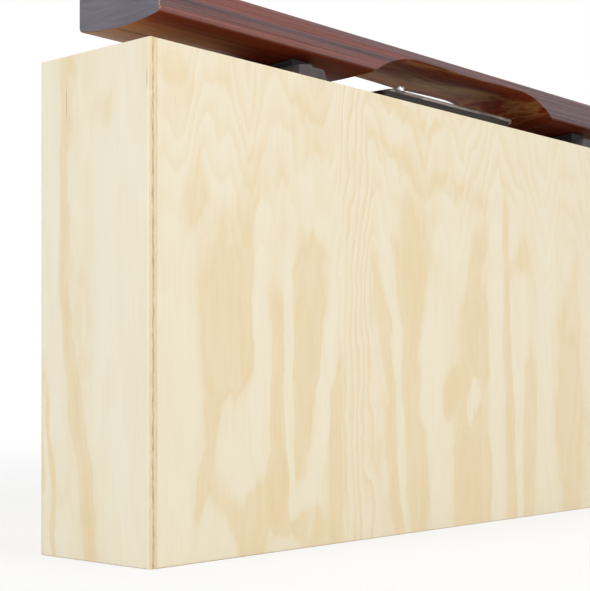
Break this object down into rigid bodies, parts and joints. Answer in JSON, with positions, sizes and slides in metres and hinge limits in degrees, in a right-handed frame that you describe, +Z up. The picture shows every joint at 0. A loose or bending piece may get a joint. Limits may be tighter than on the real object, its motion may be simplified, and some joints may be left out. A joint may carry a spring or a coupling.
{
  "type": "chime bar",
  "caption": "Contrabass chime bar: an undercut rosewood bar on felt supports above a tall plywood resonator box with a clear sliding tuning plate.",
  "frame": {"origin": "middle of the box's footprint, on the surface that it stands on", "axes": "+X along the bar, +Y through the box from its front wall to its back wall, +Z up"},
  "size_m": [0.826, 0.122, 0.4241],
  "materials": {
    "plywood": "sanded pine plywood, clear matt lacquer",
    "pine": "planed, unfinished",
    "rosewood": "oiled satin, saw-cut in the arch",
    "grey_rubber": "moulded, matt",
    "felt": "pressed wool felt",
    "black_rubber": "smooth tube",
    "black_plastic": "moulded, fine grain",
    "clear_acrylic": "clear sheet, polished edges",
    "steel": "zinc plated",
    "brass": "turned"
  },
  "bodies": {
    "resonator": {"left_end_panel": "plywood", "right_end_panel": "plywood", "front_panel": "plywood", "back_panel": "plywood", "bottom_panel": "plywood", "deck": "plywood", "front_left_corner_post": "pine", "back_left_corner_post": "pine", "front_right_corner_post": "pine", "back_right_corner_post": "pine", "front_left_deck_cleat": "pine", "front_middle_deck_cleat": "pine", "front_right_deck_cleat": "pine", "back_left_deck_cleat": "pine", "back_middle_deck_cleat": "pine", "back_right_deck_cleat": "pine", "front_bottom_cleat": "pine", "back_bottom_cleat": "pine", "left_bearer": "pine", "right_bearer": "pine", "left_support": "grey_rubber", "right_support": "grey_rubber", "front_left_support_screw": "steel", "back_left_support_screw": "steel", "front_right_support_screw": "steel", "back_right_support_screw": "steel", "left_felt_pad": "felt", "right_felt_pad": "felt", "left_bar_pin": "steel", "right_bar_pin": "steel", "left_pin_sleeve": "black_rubber", "right_pin_sleeve": "black_rubber", "mouth_collar": "black_plastic", "collar_screw_1": "steel", "collar_screw_2": "steel", "collar_screw_3": "steel", "collar_screw_4": "steel", "left_insert": "brass", "right_insert": "brass"},
    "bar": {"sound_bar": "rosewood"},
    "slider": {"tuning_plate": "clear_acrylic"},
    "left_clamp": {"left_clamp_screw": "steel", "left_washer": "steel"},
    "right_clamp": {"right_clamp_screw": "steel", "right_washer": "steel"}
  },
  "joints": [
    {"name": "bar_lift", "type": "slide", "parent": "resonator", "child": "bar", "axis": [0, 0, 1], "range_m": [0, 0.06]},
    {"name": "plate_slide", "type": "slide", "parent": "resonator", "child": "slider", "axis": [1, 0, 0], "range_m": [-0.0246, 0.0093]},
    {"name": "left_clamp_turn", "type": "hinge", "parent": "resonator", "child": "left_clamp", "pos_m": [-0.0735, -0.015, 0.383], "axis": [0, 0, 1], "range_deg": [0, 360]},
    {"name": "right_clamp_turn", "type": "hinge", "parent": "resonator", "child": "right_clamp", "pos_m": [0.0735, 0.015, 0.383], "axis": [0, 0, 1], "range_deg": [0, 360]}
  ]
}
